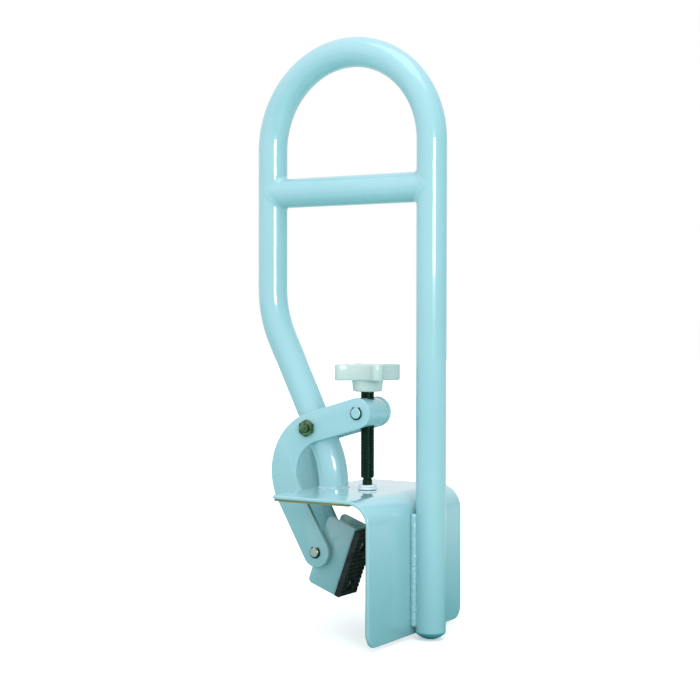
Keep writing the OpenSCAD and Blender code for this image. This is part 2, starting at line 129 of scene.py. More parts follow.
def linked(name, data):
    """A new object in the scene."""
    obj = bpy.data.objects.new(name, data)
    bpy.context.scene.collection.objects.link(obj)
    return obj


def finished(name, mesh_data, smooth_angle=35):
    """An object from a bmesh, with outward normals and edges sharp above smooth_angle degrees."""
    bmesh.ops.remove_doubles(mesh_data, verts=mesh_data.verts, dist=1e-7)
    bmesh.ops.dissolve_degenerate(mesh_data, edges=mesh_data.edges, dist=1e-8)
    bare = [edge for edge in mesh_data.edges if not edge.link_faces]
    bmesh.ops.delete(mesh_data, geom=bare, context="EDGES")
    bmesh.ops.recalc_face_normals(mesh_data, faces=mesh_data.faces)
    mesh = bpy.data.meshes.new(name)
    mesh_data.to_mesh(mesh)
    mesh_data.free()
    obj = linked(name, mesh)
    shade(obj, smooth_angle)
    return obj


def shade(obj, smooth_angle):
    obj.data.shade_smooth()
    obj.data.set_sharp_from_angle(angle=math.radians(smooth_angle))


def skin(name, rings, closed=False, smooth_angle=35):
    """Joins rings of points into a surface, closed on itself or else capped at its ends."""
    mesh_data = bmesh.new()
    rows = [[mesh_data.verts.new(point) for point in ring] for ring in rings]
    count = len(rows[0])
    pairs = list(zip(rows, rows[1:]))
    if closed:
        pairs.append((rows[-1], rows[0]))
    for lower, upper in pairs:
        for i in range(count):
            j = (i + 1) % count
            mesh_data.faces.new((lower[i], lower[j], upper[j], upper[i]))
    if not closed:
        mesh_data.faces.new(rows[0])
        mesh_data.faces.new(rows[-1])
    return finished(name, mesh_data, smooth_angle)


def rectangle(left, low, right, high):
    """The corners of a rectangle, counter-clockwise."""
    return [(left, low), (right, low), (right, high), (left, high)]


def rounded(corners, radius, steps=4):
    """The closed outline of 2-D corners with each corner rounded; radius is one number or one each."""
    radii = radius if isinstance(radius, (list, tuple)) else [radius] * len(corners)
    points = []
    for i, corner in enumerate(corners):
        here = Vector(corner)
        if radii[i] <= 0:
            points.append(here)
            continue
        to_last = (Vector(corners[i - 1]) - here).normalized()
        to_next = (Vector(corners[(i + 1) % len(corners)]) - here).normalized()
        half = to_last.angle(to_next) / 2
        bisector = (to_last + to_next).normalized()
        centre = here + bisector * radii[i] / math.sin(half)
        start = here + to_last * radii[i] / math.tan(half) - centre
        sweep = start.angle_signed(here + to_next * radii[i] / math.tan(half) - centre)
        for k in range(steps + 1):
            turn = -sweep * k / steps
            points.append(centre + Matrix.Rotation(turn, 2) @ start)
    return points


def lathe(name, profile, origin, axis="Z", segments=64):
    """Turns a closed (radius, height) outline about an axis. Points on the axis close its ends."""
    turn_to = ALONG_X if axis == "X" else Matrix.Identity(3)
    rings = []
    for k in range(segments):
        angle = 2 * math.pi * k / segments
        flat = Vector((math.cos(angle), math.sin(angle), 0))
        rings.append([
            Vector(origin) + turn_to @ (flat * radius + Vector((0, 0, height)))
            for radius, height in profile
        ])
    return skin(name, rings, closed=True)


def ring_profile(bore_r, outer_r, start, end, edge_r):
    """The (radius, height) outline of a plain bush or washer with rounded edges."""
    return rounded(rectangle(bore_r, start, outer_r, end), edge_r, 2)


def inset(outline, depth):
    """A 2-D outline, counter-clockwise, moved inwards by depth along its corners' normals."""
    moved = []
    for i, point in enumerate(outline):
        before = (point - outline[i - 1]).normalized()
        after = (outline[(i + 1) % len(outline)] - point).normalized()
        inward = Vector((-(before + after).y, (before + after).x)).normalized()
        stretch = 1 / max(0.5, math.cos(before.angle(after) / 2))
        moved.append(point + inward * depth * stretch)
    return moved


def slab(outline, thickness, edge_r, edge_steps=3):
    """The rings of a flat plate from Z 0 to thickness, with its edges rounded by edge_r."""
    levels = []
    for k in range(edge_steps + 1):
        turn = math.pi / 2 * k / edge_steps
        levels.append((edge_r * (1 - math.sin(turn)), edge_r * (1 - math.cos(turn))))
    levels += [(depth, thickness - height) for depth, height in reversed(levels)]
    return [
        [Vector((p.x, p.y, height)) for p in inset(outline, depth)] for depth, height in levels
    ]


def bar(radius, origin, axis="X", length=0.1, segments=48):
    """A plain round bar to cut a hole with, centred on origin."""
    return lathe("bar", rectangle(0, -length / 2, radius, length / 2), origin, axis, segments)


def combine(obj, others, operation="DIFFERENCE", smooth_angle=35):
    """Cuts other solids from obj, joins them to it or keeps what is shared; the others are removed."""
    for other in others:
        step = obj.modifiers.new("combine", "BOOLEAN")
        step.operation = operation
        step.solver = "EXACT"
        step.object = other
    apply_modifiers(obj)
    for other in others:
        bpy.data.objects.remove(other)
    shade(obj, smooth_angle)


def joined(parts):
    """Adds all the parts' meshes to the first one's, and removes the others."""
    mesh_data = bmesh.new()
    for part in parts:
        mesh_data.from_mesh(part.data)
    mesh_data.to_mesh(parts[0].data)
    mesh_data.free()
    for other in parts[1:]:
        bpy.data.objects.remove(other)
    return parts[0]


def apply_modifiers(obj):
    bpy.context.view_layer.update()
    graph = bpy.context.evaluated_depsgraph_get()
    mesh = bpy.data.meshes.new_from_object(obj.evaluated_get(graph))
    obj.modifiers.clear()
    obj.data = mesh


def lump(point, depth):
    """Smooth, repeatable unevenness at a point, from -depth to depth."""
    return depth * noise.noise(Vector(point))


def sliced(mesh_data, point, normal, **options):
    """Cuts a bmesh along a plane, through a point on it and across its normal."""
    everything = mesh_data.verts[:] + mesh_data.edges[:] + mesh_data.faces[:]
    bmesh.ops.bisect_plane(mesh_data, geom=everything, plane_co=point, plane_no=normal, **options)


def polar(radius, turn):
    """The 2-D point at a radius and an angle in radians."""
    return Vector((radius * math.cos(turn), radius * math.sin(turn)))


def arc(centre, radius, start, end):
    """Points (y, z) along an arc, at most 4 degrees apart; angles in radians from +Y."""
    steps = max(2, math.ceil(abs(end - start) / math.radians(4)))
    turns = [start + (end - start) * k / steps for k in range(steps + 1)]
    return [
        Vector((centre[0] + radius * math.cos(turn), centre[1] + radius * math.sin(turn)))
        for turn in turns
    ]


def across(obj, x):
    """Stands a mesh drawn in (across, up, along) coordinates in the frame, with its base at x."""
    obj.data.transform(Matrix.Translation((x, 0, 0)) @ ALONG_X.to_4x4())
    return obj


# ---- materials ----

def linear(red, green, blue):
    """A display colour from 0 to 255 as linear light."""
    def channel(value):
        value /= 255
        return value / 12.92 if value <= 0.04045 else ((value + 0.055) / 1.055) ** 2.4
    return (channel(red), channel(green), channel(blue), 1)


class Nodes:
    """Builds up a tree of shader nodes. Inputs are fixed values or other nodes' outputs."""

    def __init__(self, tree):
        self.tree = tree

    def feed(self, socket, value):
        if isinstance(value, bpy.types.NodeSocket):
            self.tree.links.new(value, socket)
        else:
            socket.default_value = value

    def node(self, kind, **inputs):
        """A node with its inputs fed by name."""
        made = self.tree.nodes.new(kind)
        for key, value in inputs.items():
            self.feed(made.inputs[key.replace("_", " ")], value)
        return made

    def operation(self, kind, operation, *values):
        """A mathematics node, its inputs fed in order."""
        made = self.tree.nodes.new(kind)
        made.operation = operation
        for socket, value in zip(made.inputs, values):
            self.feed(socket, value)
        return made

    def between(self, value, low, high, to_low=0.0, to_high=1.0):
        """Maps value from low..high onto to_low..to_high, held at the ends."""
        made = self.node(
            "ShaderNodeMapRange", Value=value, From_Min=low, From_Max=high, To_Min=to_low, To_Max=to_high)
        return made.outputs["Result"]

    def blend(self, share, first, second):
        mix = self.tree.nodes.new("ShaderNodeMix")
        mix.data_type = "RGBA"
        self.feed(mix.inputs[0], share)
        self.feed(mix.inputs[6], first)
        self.feed(mix.inputs[7], second)
        return mix.outputs[2]


class Look(Nodes):
    """A procedural material in object coordinates."""

    def __init__(self, name):
        self.material = bpy.data.materials.new(name)
        self.material.use_nodes = True
        super().__init__(self.material.node_tree)
        self.shader = self.tree.nodes["Principled BSDF"]
        self.place = self.node("ShaderNodeTexCoord").outputs["Object"]
        self.height = None

    def set(self, **inputs):
        """Feeds the surface shader's inputs by name."""
        for key, value in inputs.items():
            self.feed(self.shader.inputs[key.replace("_", " ")], value)

    def stretched(self, scale):
        """The object's coordinates scaled along each axis, for grain that runs one way."""
        return self.node("ShaderNodeMapping", Vector=self.place, Scale=scale).outputs["Vector"]

    def grain(self, scale, detail, rough=0.55, where=None):
        place = where or self.place
        made = self.node("ShaderNodeTexNoise", Vector=place, Scale=scale, Detail=detail, Roughness=rough)
        return made.outputs["Fac"]

    def uneven(self, scale, detail, to_low=0.0, to_high=1.0):
        """A grain that wanders from to_low to to_high."""
        return self.between(self.grain(scale, detail), 0.3, 0.7, to_low, to_high)

    def relief(self, height, depth):
        """Adds bump: height from 0 to 1 stands for depth in metres."""
        bump = self.node("ShaderNodeBump", Height=height, Strength=1.0, Distance=depth)
        if self.height is not None:
            self.tree.links.new(self.height, bump.inputs["Normal"])
        self.height = bump.outputs["Normal"]
        self.tree.links.new(self.height, self.shader.inputs["Normal"])


def enamel_look():
    """Gloss baked enamel: cool aqua, faint flow marks, orange peel and a few dust nibs."""
    look = Look("enamel")
    tone = look.between(look.grain(9, 3), 0.35, 0.65)
    body = look.blend(tone, linear(160, 207, 212), linear(166, 211, 216))
    speck_seed = look.node("ShaderNodeTexVoronoi", Vector=look.place, Scale=60.0)
    speck = look.between(speck_seed.outputs["Distance"], 0.0, 0.025, 1.0, 0.0)
    rare = look.between(look.grain(14, 2), 0.56, 0.62)
    nib = look.operation("ShaderNodeMath", "MULTIPLY", speck, rare).outputs["Value"]
    look.set(
        Base_Color=body,
        Roughness=look.uneven(55, 5, 0.14, 0.22),
        IOR=1.5,
        Coat_Weight=1.0,
        Coat_Roughness=0.03,
    )
    look.relief(look.grain(420, 3), 0.012 * MM)
    look.relief(nib, 0.06 * MM)
    return look.material


def teal_plastic_look():
    """Moulded gloss plastic with soft flow streaks."""
    look = Look("cap_plastic")
    streak = look.grain(30, 5, 0.6, look.stretched((1.0, 1.0, 6.0)))
    look.set(
        Base_Color=look.blend(look.between(streak, 0.3, 0.7), linear(82, 166, 178), linear(98, 180, 190)),
        Roughness=look.uneven(180, 4, 0.16, 0.27),
        IOR=1.49,
        Coat_Weight=0.2,
    )
    look.relief(look.grain(700, 2), 0.01 * MM)
    return look.material


def liner_look():
    """Thin tan cellular rubber."""
    look = Look("liner_rubber")
    cells = look.node("ShaderNodeTexVoronoi", Vector=look.place, Scale=1500.0).outputs["Distance"]
    tone = look.uneven(60, 6)
    look.set(
        Base_Color=look.blend(tone, linear(160, 143, 94), linear(178, 160, 107)),
        Roughness=look.between(cells, 0.0, 0.8, 0.75, 0.95),
        Specular_IOR_Level=0.25,
    )
    look.relief(cells, 0.09 * MM)
    look.relief(look.grain(220, 5), 0.05 * MM)
    return look.material


def pad_look():
    """Dark moulded rubber with a fine matt texture and dusty high spots."""
    look = Look("pad_rubber")
    dust = look.between(look.grain(90, 7, 0.65), 0.45, 0.75)
    look.set(
        Base_Color=look.blend(dust, linear(38, 41, 41), linear(72, 76, 75)),
        Roughness=look.uneven(300, 4, 0.62, 0.82),
        Specular_IOR_Level=0.35,
    )
    look.relief(look.grain(1100, 3), 0.03 * MM)
    return look.material


def zinc_look():
    """Bright zinc plate over turned steel: fine lines round the axis and a faint warm cast."""
    look = Look("zinc")
    lines = look.grain(900, 2, 0.5, look.stretched((1.0, 0.04, 0.04)))
    cast = look.between(look.grain(70, 4), 0.35, 0.65)
    look.set(
        Base_Color=look.blend(cast, linear(198, 203, 202), linear(214, 208, 190)),
        Metallic=1.0,
        Roughness=look.between(lines, 0.3, 0.7, 0.22, 0.38),
    )
    look.relief(lines, 0.006 * MM)
    return look.material


def dark_steel_look():
    """Blackened steel under a trace of oil, worn brighter in patches."""
    look = Look("dark_steel")
    worn = look.between(look.grain(420, 6, 0.7), 0.58, 0.74)
    look.set(
        Base_Color=look.blend(worn, linear(12, 46, 30), linear(44, 92, 66)),
        Metallic=0.85,
        Roughness=look.uneven(250, 5, 0.2, 0.36),
        Coat_Weight=0.12,
        Coat_Roughness=0.12,
    )
    look.relief(look.grain(1300, 3), 0.008 * MM)
    return look.material


def nut_look():
    """Tumbled steel, bright with darker patches."""
    look = Look("nut_steel")
    dull = look.between(look.grain(260, 4, 0.55), 0.36, 0.64)
    look.set(
        Base_Color=look.blend(dull, linear(112, 140, 104), linear(46, 78, 50)),
        Metallic=1.0,
        Roughness=look.uneven(260, 5, 0.14, 0.3),
    )
    look.relief(look.grain(900, 4), 0.012 * MM)
    return look.material


def nylon_look():
    """White satin nylon, very slightly translucent."""
    look = Look("nylon")
    tone = look.uneven(160, 4)
    look.set(
        Base_Color=look.blend(tone, linear(222, 236, 238), linear(236, 244, 244)),
        Roughness=look.uneven(400, 4, 0.32, 0.46),
        Subsurface_Weight=0.12,
        Subsurface_Radius=(0.002, 0.002, 0.002),
        Subsurface_Scale=1.0,
    )
    look.relief(look.grain(1000, 3), 0.012 * MM)
    return look.material


def knob_look():
    """Gloss ivory plastic with a soft moulded skin."""
    look = Look("knob_plastic")
    tone = look.uneven(45, 4)
    look.set(
        Base_Color=look.blend(tone, linear(200, 215, 209), linear(208, 221, 214)),
        Roughness=look.uneven(120, 5, 0.18, 0.28),
        IOR=1.5,
        Coat_Weight=0.35,
        Coat_Roughness=0.08,
        Subsurface_Weight=0.08,
        Subsurface_Radius=(0.002, 0.002, 0.0016),
        Subsurface_Scale=1.0,
    )
    look.relief(look.grain(650, 3), 0.01 * MM)
    return look.material


LOOKS = {
    "enamel": enamel_look(),
    "cap_plastic": teal_plastic_look(),
    "liner_rubber": liner_look(),
    "pad_rubber": pad_look(),
    "zinc": zinc_look(),
    "dark_steel": dark_steel_look(),
    "nylon": nylon_look(),
    "knob_plastic": knob_look(),
}
NUT_LOOK = nut_look()


def stand_for(obj, node, material=None):
    """Makes obj the visible form of a CAD node: its name, body and finish."""
    obj.name = node + "_look"
    obj.data.name = obj.name
    obj.data.materials.clear()
    obj.data.materials.append(material or LOOKS[SLOT_OF[node]])
    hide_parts(node)
    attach(obj, BODY_OF[node])


# ---- the welded frame ----

def hoop_path():
    """Points (y, z) and headings of the hoop's centre line, from the outer leg's end to the foot."""
    upper_corner_z = LEAN_Z + (INNER_LEG_Y - FOOT_Y) / math.tan(LEAN)
    upper_z = upper_corner_z + UPPER_BEND_R * math.tan(LEAN / 2)
    lower_z = LEAN_Z - LOWER_BEND_R * math.tan(LEAN / 2)
    path = []

    def straight(start, end, steps):
        heading = math.atan2(end[1] - start[1], end[0] - start[0])
        for k in range(steps):
            share = k / steps
            path.append((start[0] + (end[0] - start[0]) * share,
                         start[1] + (end[1] - start[1]) * share, heading))

    def bend(centre, radius, start, turn, steps):
        side = math.copysign(math.pi / 2, turn)
        for k in range(steps):
            angle = start + turn * k / steps
            path.append((centre[0] + radius * math.cos(angle),
                         centre[1] + radius * math.sin(angle), angle + side))

    shift = 1 - math.cos(LEAN)
    low_end = (FOOT_Y + LOWER_BEND_R * shift, lower_z + LOWER_BEND_R * math.sin(LEAN))
    high_end = (INNER_LEG_Y - UPPER_BEND_R * shift, upper_z - UPPER_BEND_R * math.sin(LEAN))
    straight((LEG_Y, HOOP_LOW.z), (LEG_Y, ARCH_Z), 12)
    bend((LEG_Y + ARCH_R, ARCH_Z), ARCH_R, math.pi, -math.pi, 72)
    straight((INNER_LEG_Y, ARCH_Z), (INNER_LEG_Y, upper_z), 4)
    bend((INNER_LEG_Y - UPPER_BEND_R, upper_z), UPPER_BEND_R, 0, -LEAN, 14)
    straight(high_end, low_end, 4)
    bend((FOOT_Y + LOWER_BEND_R, lower_z), LOWER_BEND_R, math.pi - LEAN, LEAN, 14)
    path.append((FOOT_Y, lower_z, -math.pi / 2))
    path.append((FOOT_Y, TOP_Z + TOUCH_GAP, -math.pi / 2))
    return path


def tube(path, radius, bore_r):
    """A hollow tube swept along (y, z, heading) points, with both its ends closed by a rim."""
    segments = 64

    def ring(place, r):
        y, z, heading = place
        out = Vector((0, -math.sin(heading), math.cos(heading)))
        return [
            Vector((0, y, z)) + r * (math.cos(a) * out + math.sin(a) * Vector((1, 0, 0)))
            for a in (2 * math.pi * k / segments for k in range(segments))
        ]

    rings = [ring(place, radius) for place in path]
    rings += [ring(place, bore_r) for place in reversed(path)]
    return skin("tube", rings, closed=True)


def hoop():
    obj = tube(hoop_path(), TUBE_R, TUBE_R - TUBE_WALL)
    combine(obj, [bar(SLEEVE_HOLE_R, PIVOT)])
    stand_for(obj, "hoop_tube")


def crossbar():
    """The crossbar, each end coped to the leg that it meets."""
    segments = 64
    bore_r = TUBE_R - TUBE_WALL

    def end_ring(r, leg_y, side):
        ring = []
        for k in range(segments):
            angle = 2 * math.pi * k / segments
            x = r * math.cos(angle)
            reach = math.sqrt(max(0, (TUBE_R + TOUCH_GAP) ** 2 - x * x))
            ring.append(Vector((x, leg_y + side * reach, CROSSBAR_Z + r * math.sin(angle))))
        return ring

    rings = [
        end_ring(TUBE_R, LEG_Y, 1), end_ring(TUBE_R, INNER_LEG_Y, -1),
        end_ring(bore_r, INNER_LEG_Y, -1), end_ring(bore_r, LEG_Y, 1),
    ]
    stand_for(skin("crossbar", rings, closed=True), "crossbar_tube")


def crossbar_welds():
    """A smooth painted fillet round each end of the crossbar."""
    count = 128
    fillets = []
    for leg_y, side in ((LEG_Y, 1), (INNER_LEG_Y, -1)):
        rings = []
        for k in range(count):
            a = 2 * math.pi * k / count
            x, z = TUBE_R * math.cos(a), TUBE_R * math.sin(a)
            y = math.sqrt(max(0, TUBE_R ** 2 - x * x))
            root = Vector((x, y, z))
            bar_out = Vector((math.cos(a), 0, math.sin(a)))
            round_leg = math.atan2(x, y)
            leg_out = Vector((math.sin(round_leg), math.cos(round_leg), 0))
            u = TUBE_R * round_leg
            away = Vector((u, z)).normalized()
            reach = (3.1 + lump((math.cos(a) * 3, math.sin(a) * 3, side), 0.6)) * MM
            on_leg_turn = (u + away.x * reach) / TUBE_R
            on_leg = Vector((TUBE_R * math.sin(on_leg_turn), TUBE_R * math.cos(on_leg_turn),
                             z + away.y * reach))
            on_bar = root + Vector((0, reach, 0))
            both = (bar_out + leg_out).normalized()
            swell = 0.7 * MM + lump((math.cos(a) * 5, math.sin(a) * 5, side * 3), 0.25 * MM)
            crown = root + both * swell
            ring = [
                (1 - t) ** 2 * on_bar + 2 * t * (1 - t) * crown + t * t * on_leg
                for t in (0, 0.17, 0.33, 0.5, 0.67, 0.83, 1)
            ]
            ring.append(root - both * 1.0 * MM)
            rings.append([Vector((p.x, leg_y + side * p.y, CROSSBAR_Z + p.z)) for p in ring])
        fillets.append(skin("weld", rings, closed=True, smooth_angle=60))
    stand_for(joined(fillets), "crossbar_welds")


def saddle():
    """The bent plate: drawn flat from its lower edge to its inner edge, then bent over the rim."""
    half_l = SADDLE_HIGH.x
    plate_y = SADDLE_LOW.y
    wall_l = TOP_Z - SADDLE_LOW.z - SADDLE_BEND_R
    bend_l = SADDLE_BEND_R * math.pi / 2
    top_l = SADDLE_HIGH.y - plate_y - SADDLE_BEND_R
    flat_l = wall_l + bend_l + top_l
    corner_radii = [11 * MM, 11 * MM, 9 * MM, 9 * MM]
    outline = rounded(rectangle(-half_l, 0, half_l, flat_l), corner_radii, 10)
    obj = skin("saddle", slab(outline, SADDLE_T, 0.9 * MM, 4))
    mesh_data = bmesh.new()
    mesh_data.from_mesh(obj.data)
    steps = 24
    for k in range(steps + 1):
        sliced(mesh_data, (0, wall_l + bend_l * k / steps, 0), (0, 1, 0))
    for vert in mesh_data.verts:
        x, s, depth = vert.co
        inner_r = SADDLE_BEND_R - depth
        if s <= wall_l:
            vert.co = (x, plate_y + depth, SADDLE_LOW.z + s)
        elif s <= wall_l + bend_l:
            turn = (s - wall_l) / SADDLE_BEND_R
            vert.co = (x, plate_y + SADDLE_BEND_R - inner_r * math.cos(turn),
                       TOP_Z - SADDLE_BEND_R + inner_r * math.sin(turn))
        else:
            vert.co = (x, plate_y + SADDLE_BEND_R + s - wall_l - bend_l, TOP_Z - depth)
    bpy.data.objects.remove(obj)
    stand_for(finished("saddle", mesh_data, 30), "saddle_bracket")


def end_cap():
    """A domed plug with a thin lip under the leg's cut end."""
    low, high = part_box("leg_end_cap")
    lip_top = HOOP_LOW.z - TOUCH_GAP
    lip_z = HOOP_LOW.z - 1 * MM
    dome_h = lip_z - low.z
    sphere_r = (TUBE_R ** 2 + dome_h ** 2) / (2 * dome_h)
    centre_z = low.z + sphere_r
    edge_turn = math.asin(TUBE_R / sphere_r)
    dome = []
    for k in range(15):
        turn = edge_turn * k / 14
        dome.append((sphere_r * math.sin(turn), centre_z - sphere_r * math.cos(turn)))
    dome[-1] = (TUBE_R - 0.25 * MM, dome[-1][1] + 0.1 * MM)
    plug_r = TUBE_R - TUBE_WALL - TOUCH_GAP
    profile = dome + [
        (TUBE_R, lip_z + 0.3 * MM), (TUBE_R, lip_top - 0.25 * MM), (TUBE_R - 0.25 * MM, lip_top),
        (plug_r, lip_top), (plug_r, high.z - 1 * MM), (plug_r - 0.8 * MM, high.z),
        (plug_r - 1.9 * MM, high.z), (plug_r - 1.9 * MM, lip_top + 1 * MM), (0, lip_top + 1 * MM),
    ]
    stand_for(lathe("end_cap", profile, (0, LEG_Y, 0), segments=80), "leg_end_cap")


def outer_leg_welds():
    """A rippled bead in each corner between the outer leg and the outer plate."""
    low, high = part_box("outer_leg_welds")
    plate_y = SADDLE_LOW.y
    bead_r = 2.75 * MM
    centre_x = 9.9 * MM
    centre_y = plate_y - 2.3 * MM
    spacing = 0.35 * MM
    ripple = 2.1 * MM
    steps = int((high.z - low.z) / spacing)
    beads = []
    for side in (-1, 1):
        rings = []
        for k in range(steps + 1):
            z = low.z + (high.z - low.z) * k / steps
            end = min(1, (k + 1) * spacing / (3 * MM), (steps - k + 1) * spacing / (3 * MM))
            taper = math.sqrt(max(0.05, 1 - (1 - end) ** 2))
            ring = []
            for i in range(12):
                turn = math.radians(70 - 230 * i / 11)
                lag = 1.2 * MM * abs(turn + math.radians(20))
                wave = 0.5 + 0.5 * math.cos(2 * math.pi * (z + lag) / ripple)
                size = bead_r * taper
                size += 0.28 * MM * wave * taper
                size += lump((side * 7, turn * 1.2, z * 260), 0.42 * MM)
                size += lump((side * 9, turn * 3, z * 900), 0.26 * MM)
                x = centre_x + size * math.cos(turn)
                y = centre_y + size * math.sin(turn)
                ring.append(Vector((side * x, min(y, plate_y + 0.3 * MM), z)))
            rings.append(ring)
        beads.append(skin("bead", rings, smooth_angle=70))
    stand_for(joined(beads), "outer_leg_welds")


def foot_weld():
    """A faintly rippled ring of weld round the inner leg's foot."""
    count = 120
    rings = []
    for k in range(count):
        a = 2 * math.pi * k / count
        out = Vector((math.cos(a), math.sin(a), 0))
        rough = lump((math.cos(a) * 4, math.sin(a) * 4, 0), 0.2 * MM)
        ripple = 0.07 * MM * math.cos(38 * a)
        width = 1.5 * MM + rough + ripple
        rise = 1.6 * MM + rough
        crown = 0.7 * MM + ripple
        leg = Vector((0, FOOT_Y, TOP_Z)) + out * (TUBE_R - 0.3 * MM)
        section = [
            (0, 0.03 * MM), (width + 0.3 * MM, 0.03 * MM), (width, 0.5 * MM), (crown + 0.4 * MM, crown),
            (0.55 * MM + ripple, 0.78 * rise), (0.35 * MM, rise), (0, rise + 0.2 * MM),
        ]
        rings.append([leg + out * outward + Vector((0, 0, up)) for outward, up in section])
    stand_for(skin("foot_weld", rings, closed=True, smooth_angle=75), "inner_leg_weld")


def liner(node, normal_axis):
    """A thin sheet filling a liner's box, with soft cut edges."""
    low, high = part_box(node)
    size = high - low
    if normal_axis == "Y":
        corners = rectangle(low.x, low.z, high.x, high.z)
        outline = rounded(corners, [8 * MM, 8 * MM, 1 * MM, 1 * MM], 8)
        obj = skin(node, slab(outline, size.y, 0.3 * MM, 2))
        obj.data.transform(Matrix(((1, 0, 0, 0), (0, 0, 1, low.y), (0, 1, 0, 0), (0, 0, 0, 1))))
        obj.data.flip_normals()
    else:
        outline = rounded(rectangle(low.x, low.y, high.x, high.y), 1.5 * MM)
        obj = skin(node, slab(outline, size.z, 0.3 * MM, 2))
        obj.data.transform(Matrix.Translation((0, 0, low.z)))
    stand_for(obj, node)


def sleeve():
    low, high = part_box("pivot_sleeve")
    profile = ring_profile(BOLT_HOLE_R, (high.z - low.z) / 2, low.x, high.x, 0.4 * MM)
    stand_for(lathe("sleeve", profile, PIVOT, "X"), "pivot_sleeve")


# ---- the lever ----

def lever_outline():
    """The outline of a lever plate: an arm, a bend round the hook, and its lower end."""
    arm = math.atan2(PIVOT.z - TRUNNION.z, PIVOT.y - TRUNNION.y)
    bend_start = Vector((PIVOT.y - BEND_LEAD * math.cos(arm), PIVOT.z - BEND_LEAD * math.sin(arm)))
    centre = bend_start + HOOK_R * Vector((math.sin(arm), -math.cos(arm)))
    start, end = math.pi / 2 + arm, -HOOK_LEAN
    points = arc((TRUNNION.y, TRUNNION.z), LEVER_HALF_W, start + math.pi, start)
    points += arc(centre, HOOK_R + LEVER_HALF_W, start, end)
    points += arc((JAW.y, JAW.z), LEVER_HALF_W, end, end - math.pi)
    points += arc(centre, HOOK_R - LEVER_HALF_W, end, start)
    return points[::-1]


def lever_plate(node):
    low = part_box(node)[0]
    obj = across(skin(node, slab(lever_outline(), LEVER_T, 0.55 * MM), smooth_angle=30), low.x)
    holes = ((TRUNNION, PIN_HOLE_R), (PIVOT, BOLT_HOLE_R), (JAW, BOLT_HOLE_R))
    cutters = [bar(radius, (low.x, at.y, at.z), length=20 * MM) for at, radius in holes]
    combine(obj, cutters, smooth_angle=30)
    stand_for(obj, node)


def hexagon(across_flats, height, origin, bore=0.0, turn=0.0, chamfer_both=True):
    """A hexagon about the X axis from origin towards +X, its corners turned off at 30 degrees."""
    corner_r = across_flats / 2 / math.cos(math.pi / 6)
    outline = [polar(corner_r, turn + math.pi / 3 * k) for k in range(6)]
    rings = [[Vector((origin[0] + x, origin[1] + p.x, origin[2] + p.y)) for p in outline]
             for x in (0, height)]
    obj = skin("hexagon", rings)
    flat_r = across_flats / 2 * 0.97
    wide_r = corner_r * 1.1
    drop = (wide_r - flat_r) * math.tan(math.pi / 6)
    low_r, low_h = (flat_r, drop) if chamfer_both else (wide_r, 0.2 * MM)
    profile = [(0, 0), (low_r, 0), (wide_r, low_h), (wide_r, height - drop), (flat_r, height), (0, height)]
    combine(obj, [lathe("turned", profile, origin, "X", 96)], "INTERSECT")
    if bore:
        combine(obj, [bar(bore, origin, length=50 * MM)])
    return obj


def threaded_rod(name, start, end, origin, axis, root_r, crest_r, end_r, pitch):
    """A rod with a right-handed thread, cut square and chamfered down to end_r at both its ends."""
    around = 48
    # one turn of the thread, as (share of the pitch, share of the thread's height)
    profile = [(0.0, 0), (0.06, 0), (0.24, 0.9), (0.31, 1), (0.69, 1), (0.76, 0.9), (0.94, 0)]
    steps = math.ceil(((end - start) / pitch + 2) * around) + 1
    mesh_data = bmesh.new()
    rows = []
    for t in range(steps + around + 1):
        angle = 2 * math.pi * t / around
        base_z = start - 2 * pitch + pitch * t / around
        row = []
        for share, height in profile:
            z = base_z + share * pitch
            radius = root_r + (crest_r - root_r) * height
            radius = min(radius, end_r + max(0.0, z - start), end_r + max(0.0, end - z))
            row.append(mesh_data.verts.new((radius * math.cos(angle), radius * math.sin(angle), z)))
        rows.append(row)
    for t in range(steps):
        here, there = rows[t], rows[t + 1]
        over, over_next = rows[t + around][0], rows[t + 1 + around][0]
        for i in range(len(profile)):
            j = i + 1
            upper = (there[j], here[j]) if j < len(profile) else (over_next, over)
            mesh_data.faces.new((here[i], there[i], *upper))
    loose = [v for v in mesh_data.verts if not v.link_faces]
    bmesh.ops.delete(mesh_data, geom=loose, context="VERTS")
    for height, up in ((start, -1), (end, 1)):
        sliced(mesh_data, (0, 0, height), (0, 0, up), dist=1e-9, clear_outer=True)
        rim = [edge for edge in mesh_data.edges
               if edge.is_boundary and all(abs(v.co.z - height) < 1e-7 for v in edge.verts)]
        bmesh.ops.holes_fill(mesh_data, edges=rim, sides=0)
    obj = finished(name, mesh_data, 30)
    turn_to = ALONG_X.to_4x4() if axis == "X" else Matrix.Identity(4)
    obj.data.transform(Matrix.Translation(origin) @ turn_to)
    return obj


def pivot_bolt():
    low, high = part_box("pivot_bolt")
    head_h = 5.3 * MM
    thread_l = 14 * MM
    thread_end, head_x = low.x + thread_l, high.x - head_h
    head = hexagon(ACROSS_FLATS, head_h, (head_x, PIVOT.y, PIVOT.z), turn=0.3, chamfer_both=False)
    shank = lathe("shank", rectangle(0, thread_end, BOLT_R, head_x), PIVOT, "X")
    tip = threaded_rod(
        "tip", low.x, thread_end, PIVOT, "X",
        root_r=3.35 * MM, crest_r=3.96 * MM, end_r=3.1 * MM, pitch=1.25 * MM)
    stand_for(joined([head, shank, tip]), "pivot_bolt", NUT_LOOK)


def pivot_nut():
    """The nut. Its turn keeps its corners off the lathe's own corners, where the boolean fails."""
    low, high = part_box("pivot_nut")
    place = (low.x, PIVOT.y, PIVOT.z)
    nut = hexagon(ACROSS_FLATS, high.x - low.x, place, bore=4.03 * MM, turn=math.radians(31))
    stand_for(nut, "pivot_nut", NUT_LOOK)


